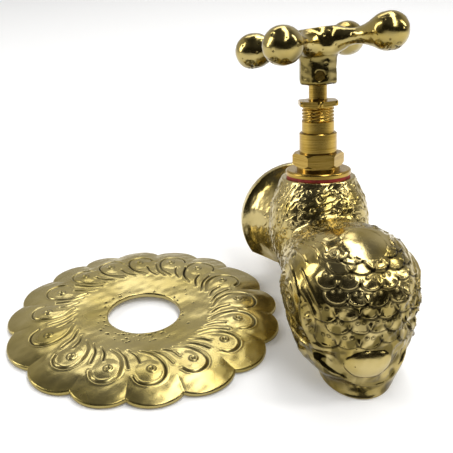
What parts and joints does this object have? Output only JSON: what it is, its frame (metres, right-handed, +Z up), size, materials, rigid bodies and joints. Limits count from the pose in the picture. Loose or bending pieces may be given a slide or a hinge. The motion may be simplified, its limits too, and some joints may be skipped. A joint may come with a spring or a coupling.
{
  "type": "hose bib tap",
  "caption": "Cast brass bib tap with a cross handle, feathered body relief, a down-turned spout and a loose scalloped wall flange.",
  "frame": {"origin": "centre of the inlet face, where the male inlet thread leaves the back of the collar", "axes": "+Z up from the surface the tap and its loose flange stand on, -Y towards the spout, -X towards the flange; the tap leans back 10.16 degrees because it stands on its spout lip and collar rim"},
  "size_m": [0.1784, 0.1374, 0.1401],
  "materials": {
    "cast_brass": "polished sand casting, pale olive-gold, fine pits",
    "machined_brass": "turned, warm gold, fine lathe lines",
    "red_fibre": "vulcanised fibre, matt dark red",
    "graphite_packing": "plaited graphite yarn",
    "valve_rubber": "moulded black rubber"
  },
  "bodies": {
    "tap": {"tap_body": "cast_brass", "bonnet": "machined_brass", "bonnet_washer": "red_fibre", "gland_nut": "machined_brass", "packing_follower": "machined_brass", "packing_ring_lower": "graphite_packing", "packing_ring_upper": "graphite_packing"},
    "valve": {"jumper": "machined_brass", "jumper_washer": "valve_rubber", "jumper_nut": "machined_brass"},
    "spindle_and_handle": {"spindle": "machined_brass", "handle": "cast_brass", "handle_grub_screw": "machined_brass"},
    "loose_flange": {"wall_flange": "cast_brass"}
  },
  "joints": [
    {"name": "valve_lift", "type": "slide", "parent": "tap", "child": "valve", "axis": [0, 0.1764, 0.9843], "range_m": [0, 0.005]},
    {"name": "handle_turn", "type": "hinge", "parent": "valve", "child": "spindle_and_handle", "pos_m": [0, -0.0441, 0.0079], "axis": [0, 0.1764, 0.9843], "range_deg": [0, 720]},
    {"name": "flange_slide", "type": "slide", "parent": "tap", "child": "loose_flange", "axis": [-1, 0, 0], "range_m": [0, 0.12]}
  ],
  "couplings": [
    {"joint": "valve_lift", "follows": "handle_turn", "m_per_rad": 0.00039789}
  ]
}
